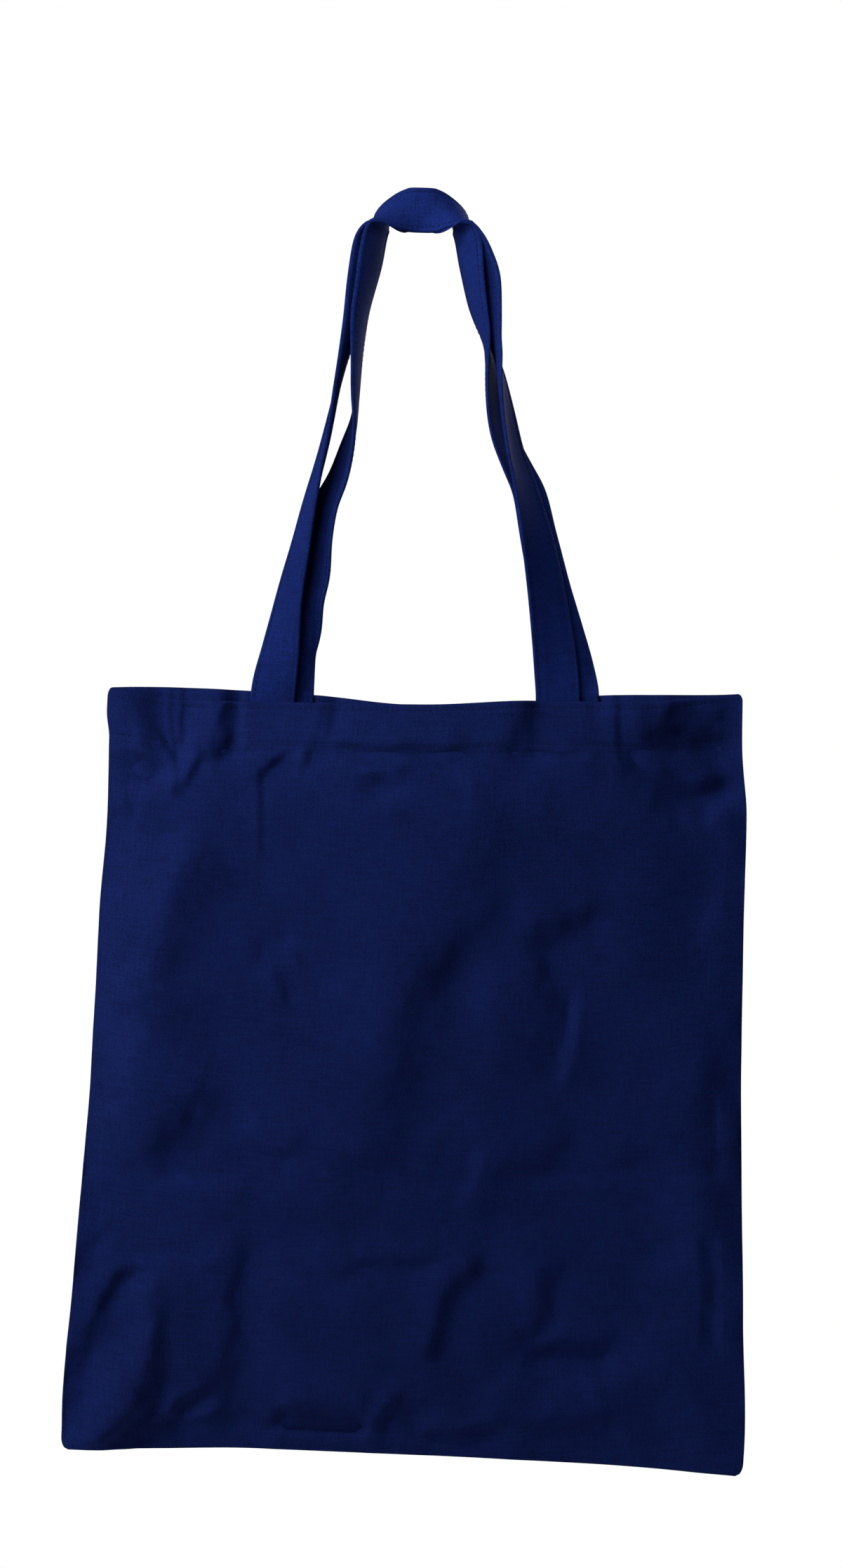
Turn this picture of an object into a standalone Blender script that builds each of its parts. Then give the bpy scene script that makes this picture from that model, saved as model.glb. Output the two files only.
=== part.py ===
"""Cotton tote bag hanging by its two handles.

Metres, +Z up, the front panel faces -Y. The origin is the point where both handles
are held together. The bag hangs below it with its mouth a little open.
"""
import math

import bpy
import bmesh
from mathutils import Vector

MM = 0.001

# Cloth
CLOTH = 0.0005            # one layer of the woven cotton
HEM_LAYERS = 3            # panel, hem and the raw edge turned under
HANDLE_LAYERS = 4         # the handle strip is folded to four layers
SEAM_LAYERS = 2           # panel and its allowance, on each side of a side seam

# Bag
BAG_WIDTH = 0.380         # laid flat
BAG_HEIGHT = 0.425        # top edge to the fold at the bottom
HEM_DEPTH = 0.026
SEAM_ALLOWANCE = 0.010    # turned inside along both sides
BAG_OFFSET = 0.0103       # the bag's middle line lies this far right of the hang point
CORNER_DROP = 0.003       # rounding of the two bottom corners

# Handles
HANDLE_WIDTH = 0.025
HANDLE_DROP = 0.2727      # hang point to the top edge
HANDLE_SPACING = 0.1595   # between the middles of a handle's two ends
BACK_SHIFT = 0.0105       # the back handle is sewn this far right of the front one
SEWN_GAP = 0.0003         # between a handle and what it lies on
END_MARGIN = 0.002        # a handle ends this far above the hem's lower edge
SHOULDER_GAP = 0.0018     # the handles lie this loosely on each other over the shoulders
CLIP_LENGTH = 0.012       # flat stretch of the handles where they are held

# Where the front handle's two ends sit, from the bag's middle line
SEAT_MIDDLE = -0.0053

# How the empty bag hangs: shares across (-1 to 1) or down (0 to 1), then the value
WIDTH_SHARE = ((0.0, 0.933), (0.14, 0.950), (0.5, 0.961), (0.8, 0.988), (0.95, 1.007), (1.0, 1.004))
HALF_DEPTH_MM = ((0.0, 9.5), (0.1, 10.5), (0.45, 12.5), (0.75, 10.0), (0.92, 5.0), (0.985, 1.4), (1.0, 0.3))
FRONT_EDGE_MM = ((-1.0, 0.1), (-0.74, -4.9), (-0.4, -4.4), (0.0, -3.4), (0.35, 0.7), (0.65, 1.5), (1.0, 7.2))
BACK_EDGE_MM = ((-1.0, 0.1), (-0.8, 1.4), (-0.35, 0.1), (-0.05, -3.6), (0.3, -0.8), (0.55, 4.8), (1.0, 7.2))
BOTTOM_MM = ((-1.0, -1.0), (-0.8, 0.6), (-0.45, 3.2), (0.0, 2.3), (0.5, 0.5), (1.0, -3.6))

# Folds that the bag keeps from being packed flat: start and end as shares across and down
# the panel, then half width and height in millimetres. Below zero the fold is a valley.
FRONT_FOLDS = (
    (-0.79, 0.005, -0.79, 0.075, 8.0, 2.0),      # pleat in the hem, left
    (-0.31, 0.005, -0.36, 0.085, 7.0, -2.2),     # pleat beside the left handle
    (-0.66, 0.072, -0.40, 0.070, 7.0, -1.8),     # slack cloth under the hem
    (-0.40, 0.070, -0.51, 0.105, 7.0, -1.8),
    (-0.93, 0.075, -0.84, 0.095, 9.0, -1.6),     # pucker at the left side seam
    (-0.12, 0.105, -0.03, 0.115, 9.0, -1.6),     # dimple under the hem
    (0.55, 0.290, 0.68, 0.330, 18.0, -2.0),      # soft dent, right
    (0.18, 0.300, -0.24, 0.500, 34.0, 2.2),      # long soft roll to the lower left
    (0.26, 0.560, -0.42, 0.860, 36.0, 2.0),
    (-0.52, 0.740, -0.90, 0.900, 20.0, 2.0),
    (-0.82, 0.930, -0.90, 0.982, 9.0, -2.4),     # creases just above the bottom fold
    (-0.86, 0.965, -0.62, 0.955, 7.0, -1.8),
    (-0.80, 0.975, -0.58, 0.950, 10.0, 2.2),
    (-0.42, 0.935, -0.36, 0.948, 8.0, -1.8),
    (-0.34, 0.930, -0.12, 0.950, 9.0, -3.0),
    (-0.30, 0.972, -0.02, 0.975, 11.0, 1.8),
    (-0.09, 0.925, -0.04, 0.942, 9.0, -1.8),
    (0.10, 0.958, 0.31, 0.968, 9.0, -2.2),
    (0.48, 0.930, 0.55, 0.958, 9.0, -2.0),
    (0.57, 0.988, 0.65, 0.962, 10.0, 1.4),
)
BACK_FOLDS = (
    (-0.20, 0.005, -0.17, 0.070, 8.0, 1.6),
    (0.50, 0.250, 0.05, 0.450, 34.0, 2.2),
    (-0.25, 0.520, 0.35, 0.800, 36.0, 2.0),
    (-0.60, 0.945, -0.30, 0.955, 9.0, -2.2),
    (0.20, 0.950, 0.50, 0.940, 10.0, -2.0),
)

# Levels of the panel, in millimetres below the hem's lower edge and above the bottom fold
LEVELS_BELOW_HEM_MM = (6.0, 14.0, 24.0, 40.0)
LEVELS_ABOVE_FOLD_MM = (76.0, 60.0, 47.0, 37.0, 29.0, 22.0, 16.0, 10.0, 5.0, 2.0, 0.0)
MIDDLE_LEVELS = 9
COLUMN_STEP = 0.0115

# Route of each handle leg from the bag to the shoulder: x, y, z in millimetres as drawn for
# DRAWN_DROP and DRAWN_SPACING, then how far its front edge is swung towards +X, in degrees.
DRAWN_DROP = 272.7
DRAWN_SPACING = 159.5
FRONT_LEFT_LEG = (
    (-72.8, -5.4, -250, 58), (-69.0, -4.8, -221, 37), (-63.2, -4.0, -190, 25), (-57.0, -2.8, -157, 14),
    (-50.2, -1.5, -127, 8), (-45.4, -0.6, -102, 1), (-40.6, 0.0, -81, -10), (-36.0, 0.4, -60, -22),
    (-33.4, 0.8, -42, -31), (-31.6, 1.2, -25, -35), (-30.2, 1.2, -13.5, -32),
)
FRONT_RIGHT_LEG = (
    (83.4, -5.6, -252, -80), (80.2, -5.4, -234, -68), (75.0, -5.0, -204, -56), (70.4, -4.6, -178, -48),
    (64.4, -3.9, -155, -37), (57.2, -3.0, -131, -21), (51.6, -1.8, -108, -12), (46.8, -0.9, -89, -4),
    (44.6, -0.3, -71, 10), (41.6, 0.2, -54, 21), (38.0, 0.6, -36, 31), (33.6, 1.0, -23, 34),
    (29.8, 1.0, -12.5, 28),
)
BACK_LEFT_LEG = (
    (-62.8, 5.6, -250, 76), (-58.6, 5.0, -221, 59), (-53.3, 4.3, -190, 46), (-49.0, 3.6, -168, 38),
    (-42.0, 2.8, -150, 29), (-37.6, 2.0, -133, 18), (-34.7, 1.3, -115, 2), (-34.6, 0.8, -100, -6),
    (-34.0, 0.3, -81, -11), (-31.8, 0.0, -60, -18), (-29.0, -0.2, -43, -24), (-26.4, -0.2, -25, -30),
    (-25.2, -0.1, -14.5, -30),
)
BACK_RIGHT_LEG = (
    (92.4, 5.8, -254, -84), (86.2, 5.6, -233, -75), (77.0, 5.2, -203, -65), (70.2, 4.8, -178, -56),
    (64.8, 4.5, -157, -47), (56.8, 4.0, -141, -40), (48.4, 3.0, -125, -30), (42.4, 1.7, -106, -18),
    (40.8, 1.1, -92, -7), (40.2, 0.7, -80, 2), (37.2, 0.3, -69, 12), (32.0, 0.0, -54, 22),
    (28.4, 0.0, -36, 26), (26.0, 0.0, -24, 27), (24.8, 0.0, -14.5, 27),
)
# Both handles share this middle surface over the shoulders. The last value is how far the
# strip is tipped, until at the clip its width stands upright.
LEFT_SHOULDER = ((-25.7, 0.5, -5.8, -15, 9), (-19.6, 0.0, -3.0, -7, 31), (-12.9, -0.6, -1.4, 0, 60))
RIGHT_SHOULDER = ((12.9, -0.6, -0.8, 0, 45), (19.1, -0.2, -2.4, 6, 26), (25.7, 0.3, -5.5, 15, 7))
CLIP_HEIGHT_MM = 0.2
LEG_STEPS = 2             # sections between two stations of a leg
SHOULDER_STEPS = 4        # the same over the shoulders, where the strip turns most

HEM_THICKNESS = HEM_LAYERS * CLOTH
HANDLE_THICKNESS = HANDLE_LAYERS * CLOTH
SEAM_HALF = SEAM_LAYERS * CLOTH
FRONT, BACK = -1, 1
HANDLE_END = HEM_DEPTH - END_MARGIN


def clear_scene():
    for item in list(bpy.data.objects):
        bpy.data.objects.remove(item, do_unlink=True)


def slopes_through(places, values):
    """Slopes of a curve that passes through the values and never overshoots them."""
    steps = [(values[i + 1] - values[i]) / (places[i + 1] - places[i]) for i in range(len(values) - 1)]
    slopes = [steps[0]]
    for before, after in zip(steps, steps[1:]):
        slopes.append(0.0 if before * after <= 0.0 else 2.0 * before * after / (before + after))
    slopes.append(steps[-1])
    return slopes


def value_at(places, values, slopes, place):
    place = min(max(place, places[0]), places[-1])
    index = 0
    while index < len(places) - 2 and place > places[index + 1]:
        index += 1
    span = places[index + 1] - places[index]
    t = (place - places[index]) / span
    return (values[index] * (1 + 2 * t) * (1 - t) ** 2
            + slopes[index] * span * t * (1 - t) ** 2
            + values[index + 1] * t * t * (3 - 2 * t)
            - slopes[index + 1] * span * t * t * (1 - t))


def along(pairs, place):
    places = [pair[0] for pair in pairs]
    values = [pair[1] for pair in pairs]
    return value_at(places, values, slopes_through(places, values), place)


def half_width(down):
    return 0.5 * BAG_WIDTH * along(WIDTH_SHARE, down)


def top_height(side, across):
    edge = FRONT_EDGE_MM if side == FRONT else BACK_EDGE_MM
    return -HANDLE_DROP + along(edge, across) * MM


def bottom_height(across):
    return -HANDLE_DROP - BAG_HEIGHT + along(BOTTOM_MM, across) * MM


def seat_middles(side):
    """Where the two ends of this side's handle lie, left then right, in world x."""
    middle = BAG_OFFSET + SEAT_MIDDLE + (BACK_SHIFT if side == BACK else 0.0)
    return middle - 0.5 * HANDLE_SPACING, middle + 0.5 * HANDLE_SPACING


def fold_height(side, across, down):
    """How far the folds lift the cloth outwards here."""
    if down * BAG_HEIGHT < HEM_DEPTH + 2.0 * MM and under_handle(side, BAG_OFFSET + across * half_width(0.0)):
        return 0.0
    folds = FRONT_FOLDS if side == FRONT else BACK_FOLDS
    here = Vector((across * 0.5 * BAG_WIDTH, down * BAG_HEIGHT))
    lift = 0.0
    for x0, v0, x1, v1, spread, height in folds:
        start = Vector((x0 * 0.5 * BAG_WIDTH, v0 * BAG_HEIGHT))
        run = Vector((x1 * 0.5 * BAG_WIDTH, v1 * BAG_HEIGHT)) - start
        t = min(max((here - start).dot(run) / run.length_squared, 0.0), 1.0)
        distance = (here - start - run * t).length
        lift += height * MM * math.exp(-(distance / (spread * MM)) ** 2)
    return lift


def under_handle(side, x):
    return any(abs(x - seat) < 0.5 * HANDLE_WIDTH + 2.0 * MM for seat in seat_middles(side))


def outer_depth(side, across, down):
    """Distance of the cloth's outer face from the bag's middle plane."""
    pillow = along(HALF_DEPTH_MM, down) * MM * (1.0 - across * across)
    return max(SEAM_HALF + pillow + fold_height(side, across, down) * (1.0 - across ** 4), SEAM_HALF)


def panel_point(side, across, drop_below_edge, layers_in=0.0):
    """A point of the panel this far below the top edge, that much cloth in from its outer face."""
    top = top_height(side, across)
    height = top - bottom_height(across)
    down = min(max(drop_below_edge / height, 0.0), 1.0)
    depth = max(outer_depth(side, across, down) - layers_in, 0.15 * MM)
    x = BAG_OFFSET + across * half_width(down)
    return Vector((x, side * depth, top - drop_below_edge))


def filled(stops, step):
    """The stops with evenly spaced places between them, none further apart than the step."""
    places = [stops[0]]
    for start, end in zip(stops, stops[1:]):
        count = max(1, math.ceil((end - start) / step))
        places += [start + (end - start) * i / count for i in range(1, count + 1)]
    return places


def bag_columns():
    """Shares across the bag, with a column on each edge of every handle's seat."""
    width = half_width(0.0)
    margin = 0.5 * HANDLE_WIDTH + 1.5 * MM
    seats = [seat - BAG_OFFSET for side in (FRONT, BACK) for seat in seat_middles(side)]
    inner = width - SEAM_ALLOWANCE
    stops = [-inner] + sorted(seat + way * margin for seat in seats for way in (-1, 1)) + [inner]
    return [-1.0] + [x / width for x in filled(stops, COLUMN_STEP)] + [1.0]


def drops_below_edge(side, across):
    """Levels of one column: through the hem, down the panel and on to the bottom fold."""
    height = top_height(side, across) - bottom_height(across)
    hem = [0.0, HEM_DEPTH / 3.0, HEM_DEPTH * 2.0 / 3.0, HEM_DEPTH]
    upper = [HEM_DEPTH + level * MM for level in LEVELS_BELOW_HEM_MM]
    lower = [height - level * MM for level in LEVELS_ABOVE_FOLD_MM]
    gap = (lower[0] - upper[-1]) / MIDDLE_LEVELS
    middle = [upper[-1] + gap * i for i in range(1, MIDDLE_LEVELS)]
    return hem + upper + middle + lower


def rounded_corner(point, across, level_from_fold):
    """Draws the outermost points of the lowest levels in, so that the corners are round."""
    if abs(across) == 1.0 and level_from_fold < 2:
        point.x -= math.copysign(CORNER_DROP * (1.0, 0.35)[level_from_fold], across)
    return point


def bag_mesh():
    mesh = bmesh.new()
    columns = bag_columns()
    last = len(columns) - 1
    outer = {}
    inner = {}
    for side in (FRONT, BACK):
        for i, across in enumerate(columns):
            drops = drops_below_edge(side, across)
            points = [rounded_corner(panel_point(side, across, drop), across, len(drops) - 1 - n)
                      for n, drop in enumerate(drops)]
            outer[side, i] = [mesh.verts.new(point) for point in points]
            if 0 < i < last:
                hem = [panel_point(side, across, drop, HEM_THICKNESS) for drop in drops[:4]]
                rest = [panel_point(side, across, drop, CLOTH) for drop in [drops[3] + 0.5 * MM] + drops[4:-1]]
                rest[-1].z = drops_floor(side, across)
                inner[side, i] = [mesh.verts.new(point) for point in hem + rest]
    for side in (FRONT, BACK):
        for i in range(last):
            join_columns(mesh, outer[side, i], outer[side, i + 1], side == FRONT)
        for i in range(1, last - 1):
            join_columns(mesh, inner[side, i], inner[side, i + 1], side == BACK)
            rim = [outer[side, i][0], outer[side, i + 1][0], inner[side, i + 1][0], inner[side, i][0]]
            add_face(mesh, rim, side == BACK)
    close_between(mesh, outer, inner, last)
    bmesh.ops.recalc_face_normals(mesh, faces=mesh.faces)
    return mesh


def drops_floor(side, across):
    """Height of the bag's inside just above the bottom fold."""
    return bottom_height(across) + 2.0 * CLOTH


def add_face(mesh, verts, turned):
    mesh.faces.new(reversed(verts) if turned else verts)


def join_columns(mesh, first, second, turned):
    for n in range(len(first) - 1):
        add_face(mesh, [first[n], first[n + 1], second[n + 1], second[n]], turned)


def close_between(mesh, outer, inner, last):
    """The bottom fold, the side edges, the ends of the inside and the rim over the side seams."""
    for i in range(last):
        add_face(mesh, [outer[FRONT, i][-1], outer[FRONT, i + 1][-1],
                        outer[BACK, i + 1][-1], outer[BACK, i][-1]], False)
    for i in range(1, last - 1):
        add_face(mesh, [inner[FRONT, i][-1], inner[FRONT, i + 1][-1],
                        inner[BACK, i + 1][-1], inner[BACK, i][-1]], True)
    for edge, seam in ((0, 1), (last, last - 1)):
        turned = edge == 0
        join_columns(mesh, outer[BACK, edge], outer[FRONT, edge], turned)
        join_columns(mesh, inner[BACK, seam], inner[FRONT, seam], not turned)
        ring = [outer[FRONT, seam][0], inner[FRONT, seam][0], inner[BACK, seam][0],
                outer[BACK, seam][0], outer[BACK, edge][0]]
        for first, second in zip(ring, ring[1:]):
            add_face(mesh, [outer[FRONT, edge][0], first, second], turned)


def seat_rows(side, middle, towards):
    """The two stations of a handle's sewn end: at its very end and at the top edge."""
    across = (middle - BAG_OFFSET) / half_width(0.0)
    rows = []
    for drop in (HANDLE_END, 0.0):
        inset = HEM_THICKNESS + SEWN_GAP + 0.5 * HANDLE_THICKNESS
        half = 0.5 * HANDLE_WIDTH / half_width(0.0)
        near = panel_point(side, across + towards * half, drop, inset)
        far = panel_point(side, across - towards * half, drop, inset)
        place = (near + far) * 0.5
        swing = math.degrees(math.atan2(near.x - far.x, far.y - near.y))
        rows.append((middle, place.y, panel_point(side, across, drop).z, swing, 0.0, 0.0))
    return rows


def leg_rows(leg, towards):
    widen = -0.5 * towards * (HANDLE_SPACING - DRAWN_SPACING * MM)
    rows = []
    for x, y, z, swing in leg:
        share = z / -DRAWN_DROP
        rows.append((x * MM + widen * share, y * MM, -HANDLE_DROP * share, swing, 0.0, 0.0))
    return rows


def handle_rows(side):
    left_leg, right_leg = (FRONT_LEFT_LEG, FRONT_RIGHT_LEG) if side == FRONT else (BACK_LEFT_LEG, BACK_RIGHT_LEG)
    left_seat, right_seat = seat_middles(side)
    loose = -side * 0.5 * (HANDLE_THICKNESS + SHOULDER_GAP)
    held = -side * 0.5 * (HANDLE_THICKNESS + SEWN_GAP)
    left = [tuple(v * MM for v in row[:3]) + row[3:] + (loose,) for row in LEFT_SHOULDER]
    right = [tuple(v * MM for v in row[:3]) + row[3:] + (loose,) for row in RIGHT_SHOULDER]
    half = 0.5 * CLIP_LENGTH
    clip = [(way * half, 0.0, CLIP_HEIGHT_MM * MM, 0.0, 90.0, held) for way in (-1, 1)]
    rows = seat_rows(side, left_seat, 1) + leg_rows(left_leg, 1) + left + clip + right
    rows += list(reversed(leg_rows(right_leg, -1))) + list(reversed(seat_rows(side, right_seat, -1)))
    return rows


def strip_sections(rows):
    """Sections along a handle: its middle, the way its front edge points and its outer normal."""
    places = [0.0]
    for before, after in zip(rows, rows[1:]):
        places.append(places[-1] + (Vector(after[:3]) - Vector(before[:3])).length)
    curves = []
    for k in range(6):
        values = [row[k] for row in rows]
        curves.append((values, slopes_through(places, values)))
    clip = [i for i, row in enumerate(rows) if row[4] == 90.0]
    stops = []
    for i in range(len(rows) - 1):
        steps = SHOULDER_STEPS if rows[i][4] + rows[i + 1][4] > 0.0 else LEG_STEPS
        steps = 1 if i in (0, clip[0], len(rows) - 2) else steps
        stops += [places[i] + (places[i + 1] - places[i]) * n / steps for n in range(steps)]
    stops.append(places[-1])

    def at(place, k):
        return value_at(places, curves[k][0], curves[k][1], place)

    sections = []
    for place in stops:
        here = Vector([at(place, k) for k in range(3)])
        ahead = Vector([at(min(place + 0.5 * MM, places[-1]), k) for k in range(3)])
        behind = Vector([at(max(place - 0.5 * MM, 0.0), k) for k in range(3)])
        forward = (ahead - behind).normalized()
        if rows[0][2] + 0.1 * MM > here.z or abs(place - places[1]) < MM or abs(place - places[-2]) < MM:
            forward = Vector((0.0, 0.0, math.copysign(1.0, forward.z)))
        if any(abs(place - places[i]) < 0.1 * MM for i in clip):
            forward = Vector((1.0, 0.0, 0.0))
        swing, tip = math.radians(at(place, 3)), math.radians(at(place, 4))
        edge = Vector((math.sin(swing) * math.cos(tip), -math.cos(swing) * math.cos(tip), -math.sin(tip)))
        # Square to the route on the legs, upright where the strip turns on its edge
        edge = (edge - forward * edge.dot(forward) * (1.0 - math.sin(tip))).normalized()
        normal = edge.cross(forward).normalized()
        sections.append((here + normal * at(place, 5), edge, normal))
    return sections


def handle_mesh(side):
    """A flat strip with rounded long edges, swept through its sections."""
    half = 0.5 * HANDLE_WIDTH
    thick = 0.5 * HANDLE_THICKNESS
    shoulder = half - thick
    profile = [(-half, 0.0), (-shoulder, -thick), (shoulder, -thick),
               (half, 0.0), (shoulder, thick), (-shoulder, thick)]
    mesh = bmesh.new()
    rings = []
    for middle, edge, normal in strip_sections(handle_rows(side)):
        rings.append([mesh.verts.new(middle + edge * a + normal * b) for a, b in profile])
    for first, second in zip(rings, rings[1:]):
        for i in range(len(profile)):
            j = (i + 1) % len(profile)
            # Both broad faces are split along the same diagonal, so that nested strips stay parallel
            start = [first[i], first[j], second[j], second[i]]
            if i >= 3:
                start = start[1:] + start[:1]
            mesh.faces.new([start[0], start[1], start[2]])
            mesh.faces.new([start[0], start[2], start[3]])
    mesh.faces.new(reversed(rings[0]))
    mesh.faces.new(rings[-1])
    bmesh.ops.recalc_face_normals(mesh, faces=mesh.faces)
    return mesh


def cloth_material(name, colour, roughness):
    material = bpy.data.materials.new(name)
    material.use_nodes = True
    shader = material.node_tree.nodes["Principled BSDF"]
    shader.inputs["Base Color"].default_value = (*colour, 1.0)
    shader.inputs["Roughness"].default_value = roughness
    shader.inputs["Metallic"].default_value = 0.0
    material.diffuse_color = (*colour, 1.0)
    return material


def add_part(name, mesh, material):
    bmesh.ops.triangulate(mesh, faces=mesh.faces)
    data = bpy.data.meshes.new(name)
    mesh.to_mesh(data)
    mesh.free()
    part = bpy.data.objects.new(name, data)
    part.data.materials.append(material)
    bpy.context.collection.objects.link(part)
    return part


clear_scene()
add_part("bag_body", bag_mesh(), cloth_material("bag_cloth", (0.008, 0.016, 0.085), 0.9))
add_part("front_handle", handle_mesh(FRONT), cloth_material("front_handle_cloth", (0.010, 0.022, 0.120), 0.9))
add_part("back_handle", handle_mesh(BACK), cloth_material("back_handle_cloth", (0.009, 0.018, 0.100), 0.9))
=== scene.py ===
"""Navy cotton tote bag hanging by its two handles."""
import math

import bmesh
import bpy
import numpy as np
from mathutils import Matrix, Vector


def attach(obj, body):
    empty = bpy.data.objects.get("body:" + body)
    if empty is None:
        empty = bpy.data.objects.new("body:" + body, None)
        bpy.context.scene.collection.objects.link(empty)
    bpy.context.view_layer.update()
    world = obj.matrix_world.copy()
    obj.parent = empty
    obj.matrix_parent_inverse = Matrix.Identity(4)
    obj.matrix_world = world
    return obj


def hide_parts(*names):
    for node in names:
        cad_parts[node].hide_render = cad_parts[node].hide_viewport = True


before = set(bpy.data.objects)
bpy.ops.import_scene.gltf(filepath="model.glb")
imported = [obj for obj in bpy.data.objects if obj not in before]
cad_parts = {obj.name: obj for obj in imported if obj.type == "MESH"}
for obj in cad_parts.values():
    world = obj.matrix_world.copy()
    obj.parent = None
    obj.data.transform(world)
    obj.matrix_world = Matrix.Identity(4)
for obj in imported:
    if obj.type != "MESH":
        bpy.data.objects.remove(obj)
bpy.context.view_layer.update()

MM = 0.001

# The cloth and the cut of the bag, the same sizes as the solids
CLOTH = 0.0005
HEM_THICKNESS = 3 * CLOTH
SEAM_HALF = 2 * CLOTH
BAG_WIDTH = 0.380
BAG_HEIGHT = 0.425
HEM_DEPTH = 0.026
SEAM_ALLOWANCE = 0.010
BAG_OFFSET = 0.0103
CORNER_RADIUS = 0.007

HANDLE_WIDTH = 0.025
HANDLE_THICKNESS = 4 * CLOTH
HANDLE_DROP = 0.2727
HANDLE_SPACING = 0.1595
BACK_SHIFT = 0.0105
SEAT_MIDDLE = -0.0053
SEWN_GAP = 0.0003
SHOULDER_GAP = 0.0018
HANDLE_END = 0.024
CLIP_LENGTH = 0.012

FRONT, BACK = -1, 1

# How the empty bag hangs: share across (-1 to 1) or down (0 to 1), then the value
WIDTH_SHARE = ((0.0, 0.933), (0.14, 0.950), (0.5, 0.961), (0.8, 0.988), (0.95, 1.007), (1.0, 1.004))
LEFT_SIDE_MM = (
    (0.0, 0.0), (0.03, 0.6), (0.065, 3.3), (0.155, 4.6), (0.30, 2.0), (0.5, 1.6), (0.7, 1.2), (0.9, 0.4),
    (1.0, 0.4),
)
RIGHT_SIDE_MM = (
    (0.0, 0.4), (0.07, -0.6), (0.16, 1.6), (0.30, 0.5), (0.5, 0.8), (0.7, 0.8), (0.9, 0.4), (1.0, 0.2),
)
HALF_DEPTH_MM = (
    (0.0, 4.2), (0.05, 6.2), (0.12, 8.8), (0.25, 11.2), (0.45, 12.5), (0.75, 10.0), (0.92, 5.0),
    (0.985, 1.4), (1.0, 0.3),
)
FRONT_EDGE_MM = (
    (-1.0, 0.1), (-0.74, -4.9), (-0.4, -4.4), (0.0, -3.4), (0.35, 0.7), (0.65, 1.5), (0.92, 6.6), (1.0, 8.0),
)
BACK_EDGE_MM = (
    (-1.0, 0.9), (-0.8, 2.0), (-0.35, 0.1), (-0.05, -3.6), (0.3, -0.8), (0.55, 4.8), (0.92, 7.2), (1.0, 8.1),
)
BOTTOM_MM = ((-1.0, -1.0), (-0.8, 0.6), (-0.45, 3.2), (0.0, 2.3), (0.5, 0.5), (1.0, -3.6))

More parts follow.
